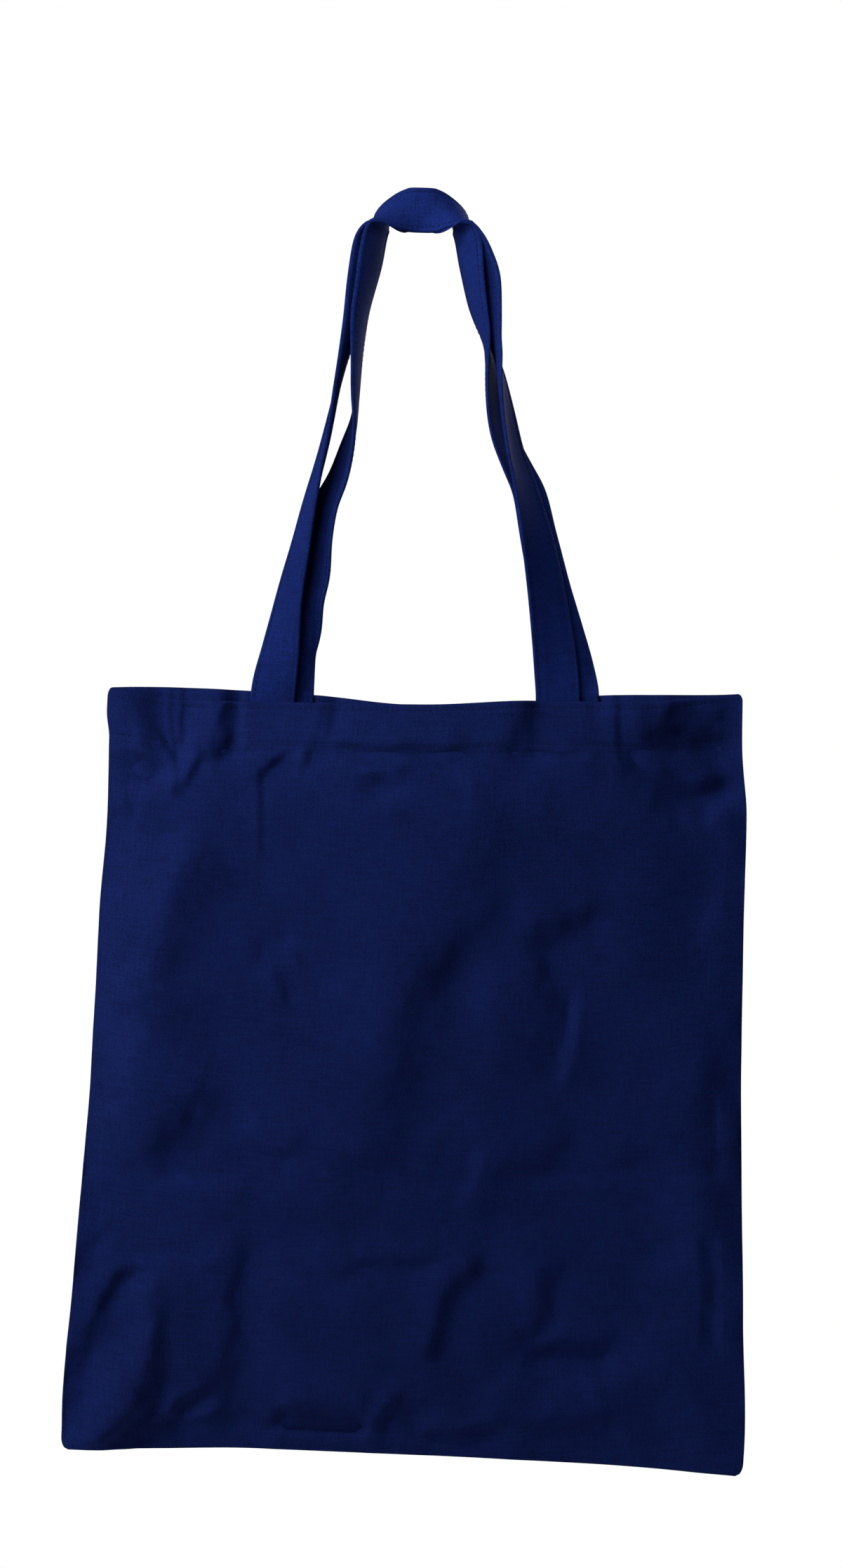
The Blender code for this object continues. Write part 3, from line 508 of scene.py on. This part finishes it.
def seat_rows(side, middle, towards):
    """Stations of a handle's end between the layers of the hem: the lower end, then the edge."""
    across = (middle - BAG_OFFSET) / float(half_width(0.0))
    half = 0.5 * HANDLE_WIDTH / float(half_width(0.0))
    inset = HEM_THICKNESS + SEWN_GAP + 0.5 * HANDLE_THICKNESS
    rows = []
    for drop in (HANDLE_END, 0.0):
        pair = []
        for way in (towards, -towards):
            share = across + way * half
            down = drop / float(top_height(side, share) - bottom_height(share))
            depth = SEAM_HALF + float(along(HALF_DEPTH_MM, down)) * MM * (1.0 - share ** 2) - inset
            forward = float(carried_forward(np.array([share]), np.array([drop]))[0])
            pair.append((BAG_OFFSET + share * float(half_width(down)), side * depth - forward))
        swing = math.degrees(math.atan2(pair[0][0] - pair[1][0], pair[1][1] - pair[0][1]))
        height = float(top_height(side, across)) - drop
        rows.append((middle, 0.5 * (pair[0][1] + pair[1][1]), height, swing, 0.0, 0.0))
    return rows


def handle_rows(side):
    """Stations of a whole handle, from left to right: x, y, z, swing, tip and lift off the route."""
    if side == FRONT:
        left_leg, right_leg, (left_shoulder, right_shoulder) = FRONT_LEFT_LEG, FRONT_RIGHT_LEG, FRONT_SHOULDERS
    else:
        left_leg, right_leg, (left_shoulder, right_shoulder) = BACK_LEFT_LEG, BACK_RIGHT_LEG, BACK_SHOULDERS
    left_seat, right_seat = seat_middles(side)
    loose = -side * 0.5 * (HANDLE_THICKNESS + SHOULDER_GAP)
    held = -side * 0.5 * (HANDLE_THICKNESS + SEWN_GAP)

    def leg(stations):
        return [(x * MM, y * MM, z * MM, swing, 0.0, 0.0) for x, y, z, swing in stations]

    def shoulder(stations):
        return [(x * MM, y * MM, z * MM, swing, tip, loose) for x, y, z, swing, tip in stations]

    half = 0.5 * CLIP_LENGTH
    clip = [(way * half, 0.0, CLIP_HEIGHT_MM * MM, 0.0, 90.0, held) for way in (-1, 1)]
    return (seat_rows(side, left_seat, 1) + leg(left_leg) + shoulder(left_shoulder) + clip
            + shoulder(right_shoulder) + leg(right_leg)[::-1] + seat_rows(side, right_seat, -1)[::-1])


def smoothed(values, times):
    """The values evened out with their neighbours, so many times."""
    values = values.copy()
    for _ in range(times):
        values[1:-1] = 0.25 * values[:-2] + 0.5 * values[1:-1] + 0.25 * values[2:]
    return values


def strip_sections(rows, step):
    """Middle, way to the front edge and outer normal of close sections along a handle."""
    spots = np.array([row[:3] for row in rows])
    places = np.concatenate([[0.0], np.cumsum(np.linalg.norm(np.diff(spots, axis=0), axis=1))])
    count = int(places[-1] / step)
    wanted = np.linspace(0.0, places[-1], count)
    middle = np.stack([curve_at(places, spots[:, k], wanted) for k in range(3)], axis=-1)
    swing, tip, lift = (curve_at(places, [row[k] for row in rows], wanted) for k in (3, 4, 5))
    held = tip > 80.0
    # Rounds the route a little between its stations, away from the sewn ends and the clip
    sewn = (wanted < places[1]) | (wanted > places[-2])
    from_hem = np.minimum(np.abs(wanted - places[1]), np.abs(wanted - places[-2]))
    free = (np.clip(from_hem / 0.010, 0.0, 1.0) * ~sewn * ~held)[:, None]
    middle = middle * (1.0 - free) + smoothed(middle, 6) * free
    forward = np.gradient(middle, axis=0)
    forward /= np.linalg.norm(forward, axis=1)[:, None]
    forward[sewn] = np.where(wanted[sewn, None] < places[1], [[0.0, 0.0, 1.0]], [[0.0, 0.0, -1.0]])
    swing, tip, lift = np.radians(smoothed(swing, 8)), np.radians(smoothed(tip, 6)), smoothed(lift, 10)
    edge = np.stack([np.sin(swing) * np.cos(tip), -np.cos(swing) * np.cos(tip), -np.sin(tip)], axis=-1)
    edge -= forward * (np.sum(edge * forward, axis=1) * (1.0 - np.sin(tip)))[:, None]
    edge /= np.linalg.norm(edge, axis=1)[:, None]
    normal = np.cross(edge, forward)
    normal /= np.linalg.norm(normal, axis=1)[:, None]
    return middle + normal * lift[:, None], edge, normal, wanted


def handle_profile():
    """Half outline of the folded strip: share of the half width and of the half thickness."""
    edge = ((1.0, 0.18), (0.985, 0.72), (0.94, 1.06), (0.86, 1.10), (0.80, 0.84), (0.75, 1.0), (0.4, 1.04))
    return [(-a, b) for a, b in edge] + [(0.0, 1.05)] + list(reversed(edge))


def curl_along(middle):
    """How far the strip's edges curl out of the loop. Not where it is sewn or pinched."""
    height = middle[:, 2]
    curl = CURL * np.clip((height + 0.215) / 0.09, 0.0, 1.0) * np.clip(-(height + 0.004) / 0.012, 0.0, 1.0)
    return smoothed(curl, 6)


def free_of_seat(lengths, n):
    """0 where the strip is sewn into the hem, rising to 1 beyond it."""
    inside = min(lengths[n], lengths[-1] - lengths[n])
    return min(max((inside - HANDLE_END - 0.004) / 0.02, 0.0), 1.0)


def handle_piece(side, name):
    """One handle as a closed mesh, with its sections for the stitches."""
    middle, edge, normal, lengths = strip_sections(handle_rows(side), STRIP_STEP)
    curl = curl_along(middle)
    half = 0.5 * HANDLE_WIDTH
    thick = 0.5 * HANDLE_THICKNESS
    outline = handle_profile()
    ring = [(a * half, b * thick) for a, b in outline]
    ring += [(a * half, -b * thick) for a, b in reversed(outline)]
    seed = 51 if side == FRONT else 71
    verts, coords = [], []
    for n in range(len(middle)):
        for a, b in ring:
            b = b + curl[n] * abs(a / half) ** CURL_SHAPE
            # The strip is slightly wavy: short waves along its edges and longer ones over all of it
            sway = 0.10 * MM * math.sin(lengths[n] / 0.0065 + a / half * 1.3 + seed) * (abs(a) / half) ** 2
            sway += 0.12 * MM * math.sin(lengths[n] / 0.017 + a / half * 2.1 + 2 * seed)
            place = middle[n] + edge[n] * a + normal[n] * (b + sway * free_of_seat(lengths, n))
            verts.append(place)
            # The face on the inside of the loop lies beside the other one on the cut cloth
            coords.append((a + (0.03 if b < 0.0 else 0.0), lengths[n]))
    size = len(ring)
    faces = []
    for n in range(len(middle) - 1):
        for i in range(size):
            j = (i + 1) % size
            faces.append((n * size + i, n * size + j, (n + 1) * size + j, (n + 1) * size + i))
    faces.append(tuple(range(size)))
    faces.append(tuple(range((len(middle) - 1) * size, len(middle) * size)))
    mesh = bpy.data.meshes.new(name)
    mesh.from_pydata([tuple(place) for place in verts], [], faces)
    uv_map = mesh.uv_layers.new(name=CUT_MAP)
    for loop, item in zip(mesh.loops, uv_map.data):
        item.uv = coords[loop.vertex_index]
    piece = finish_mesh(mesh, name, 0.0001 * MM)
    return piece, (middle, edge, normal, lengths)


# ---------------------------------------------------------------- stitches

def stitch_template(length, width):
    """One stitch: a short thread that dips into the cloth at both ends."""
    sides, stations = 6, 5
    verts, faces = [], []
    for n in range(stations):
        t = n / (stations - 1)
        rise = math.sin(math.pi * t)
        radius = 0.5 * width * (0.45 + 0.55 * rise)
        for k in range(sides):
            angle = 2.0 * math.pi * k / sides
            verts.append(((t - 0.5) * length, radius * math.cos(angle), 0.35 * width * rise - 0.2 * width
                          + radius * math.sin(angle)))
    for n in range(stations - 1):
        for k in range(sides):
            m = (k + 1) % sides
            faces.append((n * sides + k, n * sides + m, (n + 1) * sides + m, (n + 1) * sides + k))
    faces.append(tuple(range(sides - 1, -1, -1)))
    faces.append(tuple(range((stations - 1) * sides, stations * sides)))
    return verts, faces


def stitch_row_piece(name, rows, length=2.6 * MM, width=0.42 * MM):
    """Rows of stitches as one piece: each row is a list of (place, outward normal)."""
    shape, shape_faces = stitch_template(length, width)
    verts, faces = [], []
    for row in rows:
        for (place, normal), (after, _) in zip(row, row[1:]):
            place, after, normal = Vector(place), Vector(after), Vector(normal).normalized()
            run = (after - place).normalized()
            cross = normal.cross(run).normalized()
            turn = Matrix((run, cross, run.cross(cross))).transposed()
            start = len(verts)
            middle = (place + after) * 0.5
            verts.extend([tuple(middle + turn @ Vector(v)) for v in shape])
            faces.extend([tuple(start + i for i in face) for face in shape_faces])
    mesh = bpy.data.meshes.new(name)
    mesh.from_pydata(verts, [], faces)
    mesh.uv_layers.new(name=CUT_MAP)
    return finish_mesh(mesh, name, 0.0001 * MM)


def hem_row(side, drop):
    """Places along a row of stitches that runs round the mouth this far below the edge."""
    count = int(BAG_WIDTH * 0.92 / STITCH_PITCH)
    across = np.linspace(-0.975, 0.975, count)
    drops = np.full_like(across, drop)
    here = panel_points(side, across, drops)
    step = 0.4 * MM
    lower = panel_points(side, across, drops + step)
    beside = panel_points(side, across + step / (0.5 * BAG_WIDTH), drops)
    normals = np.cross(beside - here, lower - here)
    normals *= np.sign(normals[:, 1:2]) * side
    return list(zip(here.tolist(), normals.tolist()))


def handle_row(sections, offset, face):
    """Places along a row of stitches on one face of a handle, so far from its middle."""
    middle, edge, normal, lengths = sections
    lifted = curl_along(middle) * (abs(offset) / (0.5 * HANDLE_WIDTH)) ** CURL_SHAPE
    middle = middle + normal * lifted[:, None]
    stops = np.arange(HANDLE_END + 0.002, lengths[-1] - HANDLE_END - 0.002, STITCH_PITCH)
    rows = []
    for stop in stops:
        n = int(np.searchsorted(lengths, stop))
        t = (stop - lengths[n - 1]) / (lengths[n] - lengths[n - 1])
        m, e, k = (v[n - 1] * (1 - t) + v[n] * t for v in (middle, edge, normal))
        rows.append(((m + e * offset + k * face * 0.47 * HANDLE_THICKNESS).tolist(), (k * face).tolist()))
    return rows


# ---------------------------------------------------------------- materials

def colour(code):
    """An sRGB hex colour as the linear values that the shader takes."""
    values = [int(code[i:i + 2], 16) / 255.0 for i in (1, 3, 5)]
    return tuple(v / 12.92 if v <= 0.04045 else ((v + 0.055) / 1.055) ** 2.4 for v in values) + (1.0,)


def add_node(tree, kind, settings=None, **links):
    """Adds a node; a link is a socket of another node, anything else is a value.

    A link's name is that of the input, or i and the number of the input.
    """
    node = tree.nodes.new(kind)
    for key, value in (settings or {}).items():
        setattr(node, key, value)
    for key, value in links.items():
        numbered = key[0] == "i" and key[1:].isdigit()
        socket = node.inputs[int(key[1:]) if numbered else key.replace("_", " ")]
        if isinstance(value, bpy.types.NodeSocket):
            tree.links.new(value, socket)
        else:
            socket.default_value = value
    return node


FLAT_NOISE = {"noise_dimensions": "2D"}
MULTIPLY_ADD = {"operation": "MULTIPLY_ADD"}


def thread_profile(tree, place):
    """Round back of one thread after another along a coordinate counted in threads."""
    turned = add_node(tree, "ShaderNodeMath", {"operation": "MULTIPLY"}, i0=place, i1=math.pi)
    wave = add_node(tree, "ShaderNodeMath", {"operation": "SINE"}, i0=turned.outputs[0])
    return add_node(tree, "ShaderNodeMath", {"operation": "ABSOLUTE"}, i0=wave.outputs[0]).outputs[0]


def woven_cotton(name, base, light):
    """Cotton canvas, plain weave, piece dyed navy: matt, a fine grid of threads, a soft bloom."""
    material = bpy.data.materials.new(name)
    material.use_nodes = True
    tree = material.node_tree
    shader = tree.nodes["Principled BSDF"]
    cut = add_node(tree, "ShaderNodeUVMap", {"uv_map": CUT_MAP}).outputs["UV"]

    # Threads lie 0.5 mm apart on the real cloth. They are drawn 0.9 mm apart so that they show.
    pitch = 0.9 * MM
    weft = add_node(tree, "ShaderNodeMapping", Vector=cut, Scale=(1.0 / pitch, 1.0 / pitch, 1.0)).outputs[0]
    # No thread runs quite straight: they stray by up to 0.9 of their pitch over about 8 threads
    uneven = add_node(tree, "ShaderNodeTexNoise", FLAT_NOISE, Vector=weft, Scale=0.13, Detail=2.0)
    shift = add_node(tree, "ShaderNodeVectorMath", MULTIPLY_ADD, i0=uneven.outputs["Color"],
                     i1=(0.9, 0.9, 0.0), i2=weft).outputs[0]
    parts = add_node(tree, "ShaderNodeSeparateXYZ", Vector=shift)
    across = thread_profile(tree, parts.outputs[0])
    down = thread_profile(tree, parts.outputs[1])
    # Plain weave: on the squares of one colour the warp is on top, on the others the weft
    over = add_node(tree, "ShaderNodeTexChecker", Vector=shift, Scale=1.0,
                    Color1=(1, 1, 1, 1), Color2=(0, 0, 0, 1))
    weave = add_node(tree, "ShaderNodeMix", {"data_type": "FLOAT"},
                     i0=over.outputs["Fac"], i2=across, i3=down).outputs[0]

    # Slubs: single threads a little thicker and lighter than the rest. They are about 1.6 mm
    # thick, and 9 mm long in the warp and 14 mm in the weft.
    warp_slub, weft_slub = (
        add_node(tree, "ShaderNodeTexNoise", FLAT_NOISE, Scale=1.0, Detail=1.0,
                 Vector=add_node(tree, "ShaderNodeMapping", Vector=cut, Scale=scale).outputs[0])
        for scale in ((620.0, 110.0, 1.0), (70.0, 620.0, 1.0)))
    slubs = add_node(tree, "ShaderNodeMath", {"operation": "ADD"},
                     i0=warp_slub.outputs["Fac"], i1=weft_slub.outputs["Fac"])

    # The dye has taken a little unevenly, in clouds of about 55 mm
    cloudy = add_node(tree, "ShaderNodeTexNoise", FLAT_NOISE, Vector=cut, Scale=18.0, Detail=3.0)
    tone = add_node(tree, "ShaderNodeMath", MULTIPLY_ADD, i0=slubs.outputs[0], i1=0.40, i2=-0.22)
    tone = add_node(tree, "ShaderNodeMath", MULTIPLY_ADD, i0=cloudy.outputs["Fac"], i1=0.5, i2=tone.outputs[0])
    # Flecks of about 0.9 mm where the yarn is looser and has taken less dye
    fleck = add_node(tree, "ShaderNodeTexNoise", FLAT_NOISE, Vector=cut, Scale=1100.0, Detail=2.0)
    tone = add_node(tree, "ShaderNodeMath", MULTIPLY_ADD, i0=fleck.outputs["Fac"], i1=1.25, i2=tone.outputs[0])
    tone = add_node(tree, "ShaderNodeMath", {"operation": "ADD"}, i0=tone.outputs[0], i1=-0.625)
    tone = add_node(tree, "ShaderNodeMath", {"operation": "MULTIPLY_ADD", "use_clamp": True},
                    i0=weave, i1=0.18, i2=tone.outputs[0])
    dye = add_node(tree, "ShaderNodeMix", {"data_type": "RGBA"},
                   i0=tone.outputs[0], i6=colour(base), i7=colour(light))
    tree.links.new(dye.outputs[2], shader.inputs["Base Color"])

    relief = add_node(tree, "ShaderNodeMath", MULTIPLY_ADD, i0=slubs.outputs[0], i1=0.5, i2=weave)
    bump = add_node(tree, "ShaderNodeBump", Strength=0.55, Distance=0.16 * MM, Height=relief.outputs[0])
    tree.links.new(bump.outputs["Normal"], shader.inputs["Normal"])
    shader.inputs["Roughness"].default_value = 0.92
    shader.inputs["Specular IOR Level"].default_value = 0.02
    shader.inputs["Sheen Weight"].default_value = 0.03
    shader.inputs["Sheen Roughness"].default_value = 0.45
    shader.inputs["Sheen Tint"].default_value = colour("#3C56C8")
    return material


def sewing_thread():
    """Spun polyester sewing thread dyed to match: a twisted cord with a slight gloss."""
    material = bpy.data.materials.new("spun_polyester_thread")
    material.use_nodes = True
    tree = material.node_tree
    shader = tree.nodes["Principled BSDF"]
    place = add_node(tree, "ShaderNodeTexCoord").outputs["Object"]
    # The twist of the ply, about one turn in a third of a millimetre
    ply = add_node(tree, "ShaderNodeTexWave", {"bands_direction": "DIAGONAL"}, Vector=place,
                   Scale=900.0, Distortion=1.0)
    dye = add_node(tree, "ShaderNodeMix", {"data_type": "RGBA"}, i0=ply.outputs["Fac"],
                   i6=colour("#060B24"), i7=colour("#0B1439"))
    tree.links.new(dye.outputs[2], shader.inputs["Base Color"])
    bump = add_node(tree, "ShaderNodeBump", Strength=0.4, Distance=0.05 * MM, Height=ply.outputs["Fac"])
    tree.links.new(bump.outputs["Normal"], shader.inputs["Normal"])
    shader.inputs["Roughness"].default_value = 0.85
    shader.inputs["Specular IOR Level"].default_value = 0.05
    return material


# ---------------------------------------------------------------- stage, lights and camera

def white_for_camera(tree, share):
    """How much plain white a camera, glossy or transmitted ray sees: this share, or none for others."""
    path = add_node(tree, "ShaderNodeLightPath")
    seen = add_node(tree, "ShaderNodeMath", {"operation": "MAXIMUM"}, i0=path.outputs["Is Camera Ray"],
                    i1=path.outputs["Is Glossy Ray"])
    seen = add_node(tree, "ShaderNodeMath", {"operation": "MAXIMUM"}, i0=seen.outputs[0],
                    i1=path.outputs["Is Transmission Ray"])
    seen = add_node(tree, "ShaderNodeMath", {"operation": "MULTIPLY"}, i0=seen.outputs[0], i1=share)
    return seen.outputs[0]


def make_floor():
    """A pale floor under the hanging bag, as stage."""
    bpy.ops.mesh.primitive_plane_add(size=1.0, location=(0.0, 0.0, 0.0))
    floor = bpy.context.object
    floor.name = "studio_floor"
    floor.data.transform(Matrix.Translation((0.0, 0.1, -1.15)) @ Matrix.Diagonal((2.4, 1.6, 1.0, 1.0)))
    material = bpy.data.materials.new("matt_white_floor")
    material.use_nodes = True
    tree = material.node_tree
    shader = tree.nodes["Principled BSDF"]
    shader.inputs["Base Color"].default_value = colour("#F4F4F2")
    shader.inputs["Roughness"].default_value = 0.9
    white = add_node(tree, "ShaderNodeEmission", Color=(1.0, 1.0, 1.0, 1.0), Strength=1.0)
    mix = add_node(tree, "ShaderNodeMixShader", i0=white_for_camera(tree, 0.6), i1=shader.outputs[0],
                   i2=white.outputs[0])
    tree.links.new(mix.outputs[0], tree.nodes["Material Output"].inputs["Surface"])
    floor.data.materials.append(material)


def area_light(name, place, target, size, power):
    """A square light, so many metres wide and watts strong, turned to its target."""
    data = bpy.data.lights.new(name, "AREA")
    data.energy = power
    data.size = size
    lamp = bpy.data.objects.new(name, data)
    lamp.location = place
    lamp.rotation_euler = (Vector(target) - Vector(place)).to_track_quat("-Z", "Y").to_euler()
    bpy.context.collection.objects.link(lamp)


def light_studio():
    """White background with a weak soft light from it, and five lights."""
    world = bpy.data.worlds.new("studio")
    bpy.context.scene.world = world
    world.use_nodes = True
    tree = world.node_tree
    soft = tree.nodes["Background"]
    soft.inputs["Color"].default_value = (0.92, 0.95, 1.0, 1.0)
    soft.inputs["Strength"].default_value = 0.08
    white = add_node(tree, "ShaderNodeBackground", Color=(1.0, 1.0, 1.0, 1.0), Strength=1.0)
    mix = add_node(tree, "ShaderNodeMixShader", i0=white_for_camera(tree, 1.0), i1=soft.outputs[0],
                   i2=white.outputs[0])
    tree.links.new(mix.outputs[0], tree.nodes["World Output"].inputs["Surface"])
    area_light("key_left", (-0.99, -0.61, -0.10), (0.0, 0.0, -0.49), 0.55, 18.3)
    area_light("key_top", (-0.90, -1.60, 3.00), (0.0, 0.0, -0.45), 1.2, 38.0)
    area_light("top_front", (-0.20, -0.50, 0.30), (0.0, 0.0, 0.45), 0.25, 8.5)
    area_light("back_right", (1.10, 1.50, 0.50), (0.0, 0.0, -0.42), 1.0, 46.0)
    area_light("fill_low", (0.62, -0.80, -1.25), (0.12, 0.0, -0.68), 0.5, 3.0)


def place_camera():
    """Level, square to the front panel. The photograph leans by 1.8 degrees."""
    photo_height, pixel = 2234, 0.3925 * MM
    aim_x, aim_z, distance = 0.0097, -0.3205, 2.4
    sensor, lean = 36.0, -1.8
    data = bpy.data.cameras.new("camera")
    data.sensor_width = sensor
    data.lens = sensor * distance / (photo_height * pixel)
    data.clip_end = 50.0
    camera = bpy.data.objects.new("camera", data)
    camera.location = (aim_x, -distance, aim_z)
    camera.rotation_euler = (math.radians(90.0), math.radians(lean), 0.0)
    bpy.context.collection.objects.link(camera)
    bpy.context.scene.camera = camera


# ---------------------------------------------------------------- making the bag

bpy.context.scene.view_settings.view_transform = "Standard"
make_floor()
light_studio()
place_camera()

panel_cotton = woven_cotton("woven_cotton_canvas", "#060C2A", "#0E1A49")
handle_cotton = woven_cotton("folded_cotton_strip", "#060D2E", "#0E1D53")
thread = sewing_thread()

bag = finish_mesh(bag_cloth_mesh(), "bag_cloth")
front_strip, front_sections = handle_piece(FRONT, "front_handle_strip")
back_strip, back_sections = handle_piece(BACK, "back_handle_strip")
hem_stitches = stitch_row_piece("hem_stitches", [hem_row(side, drop) for side in (FRONT, BACK)
                                                 for drop in (TOP_ROW, HEM_ROW)])
handle_stitches = stitch_row_piece("handle_stitches", [
    handle_row(sections, way * STRIP_ROW, face) for sections in (front_sections, back_sections)
    for way in (-1, 1) for face in (-1, 1)])

for piece, material in ((bag, panel_cotton), (front_strip, handle_cotton), (back_strip, handle_cotton),
                        (hem_stitches, thread), (handle_stitches, thread)):
    piece.data.materials.append(material)
    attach(piece, "root")
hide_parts("bag_body")
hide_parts("front_handle")
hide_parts("back_handle")
